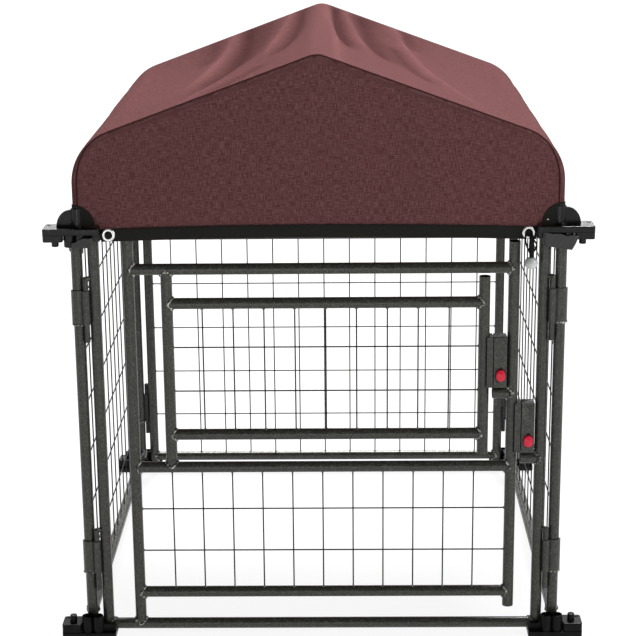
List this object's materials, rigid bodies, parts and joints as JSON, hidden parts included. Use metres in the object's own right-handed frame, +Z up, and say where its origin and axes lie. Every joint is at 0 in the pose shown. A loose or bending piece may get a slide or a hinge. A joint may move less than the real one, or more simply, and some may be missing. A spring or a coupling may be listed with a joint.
{
  "type": "dog kennel run",
  "caption": "Square outdoor dog kennel of welded wire panels in round steel tube, with a gate, a feed door, lift latches, moulded corners and a cloth gable canopy.",
  "frame": {"origin": "on the ground under the plan centre", "axes": "+Z up, front with the gate facing -Y, +X to the right seen from the front"},
  "size_m": [1.21, 1.162, 1.3539],
  "materials": {
    "frame_steel": "dark bronze grey hammered powder coat, half gloss",
    "mesh_wire": "dark bronze grey powder coat on drawn wire",
    "corner_plastic": "black moulded plastic, satin",
    "canopy_cloth": "burgundy coated woven cloth",
    "black_webbing": "black folded hem tape",
    "grommet_metal": "bright rolled metal, lightly scuffed",
    "elastic": "black braided elastic",
    "ball_plastic": "milky white moulded plastic",
    "red_plastic": "red moulded plastic",
    "spring_steel": "bright spring wire"
  },
  "bodies": {
    "frame": {"front_left_upright": "frame_steel", "front_right_upright": "frame_steel", "front_sill": "frame_steel", "front_top_rail": "frame_steel", "gate_pivots": "frame_steel", "gate_strike": "frame_steel", "left_front_upright": "frame_steel", "left_rear_upright": "frame_steel", "left_bottom_rail": "frame_steel", "left_top_rail": "frame_steel", "right_front_upright": "frame_steel", "right_rear_upright": "frame_steel", "right_bottom_rail": "frame_steel", "right_top_rail": "frame_steel", "back_left_upright": "frame_steel", "back_right_upright": "frame_steel", "back_bottom_rail": "frame_steel", "back_top_rail": "frame_steel", "corner_sleeves": "frame_steel", "corner_hooks": "frame_steel", "front_hoop": "frame_steel", "rear_hoop": "frame_steel", "ridge_pole": "frame_steel", "left_mesh": "mesh_wire", "right_mesh": "mesh_wire", "back_mesh": "mesh_wire", "front_left_foot": "corner_plastic", "front_right_foot": "corner_plastic", "rear_left_foot": "corner_plastic", "rear_right_foot": "corner_plastic", "front_left_bracket": "corner_plastic", "front_right_bracket": "corner_plastic", "rear_left_bracket": "corner_plastic", "rear_right_bracket": "corner_plastic", "canopy": "canopy_cloth", "canopy_binding": "black_webbing", "grommets": "grommet_metal", "bungee_cords": "elastic", "bungee_ball": "ball_plastic"},
    "gate": {"gate_hinge_post": "frame_steel", "gate_latch_post": "frame_steel", "gate_top_rail": "frame_steel", "gate_mid_rail": "frame_steel", "gate_bottom_rail": "frame_steel", "gate_mesh": "mesh_wire", "gate_latch_guide": "frame_steel", "feed_strike": "frame_steel", "feed_pivots": "frame_steel"},
    "feed_door": {"feed_hinge_post": "frame_steel", "feed_latch_post": "frame_steel", "feed_top_rail": "frame_steel", "feed_bottom_rail": "frame_steel", "feed_mesh": "mesh_wire", "feed_latch_guide": "frame_steel"},
    "gate_latch": {"gate_latch_slider": "frame_steel", "gate_button_spring": "spring_steel"},
    "gate_button": {"gate_latch_button": "red_plastic"},
    "feed_latch": {"feed_latch_slider": "frame_steel", "feed_button_spring": "spring_steel"},
    "feed_button": {"feed_latch_button": "red_plastic"}
  },
  "joints": [
    {"name": "gate_swing", "type": "hinge", "parent": "frame", "child": "gate", "pos_m": [-0.424, -0.539, 0.489], "axis": [0, 0, -1], "range_deg": [0, 110]},
    {"name": "feed_door_swing", "type": "hinge", "parent": "gate", "child": "feed_door", "pos_m": [-0.34, -0.539, 0.6435], "axis": [0, 0, -1], "range_deg": [0, 90]},
    {"name": "gate_latch_lift", "type": "slide", "parent": "gate", "child": "gate_latch", "axis": [0, 0, 1], "range_m": [0, 0.04]},
    {"name": "feed_latch_lift", "type": "slide", "parent": "feed_door", "child": "feed_latch", "axis": [0, 0, 1], "range_m": [0, 0.06]},
    {"name": "gate_button_press", "type": "slide", "parent": "gate_latch", "child": "gate_button", "axis": [0, 1, 0], "range_m": [0, 0.005], "stiffness_N_per_m": 400, "deforming": ["gate_button_spring"]},
    {"name": "feed_button_press", "type": "slide", "parent": "feed_latch", "child": "feed_button", "axis": [0, 1, 0], "range_m": [0, 0.005], "stiffness_N_per_m": 400, "deforming": ["feed_button_spring"]}
  ]
}
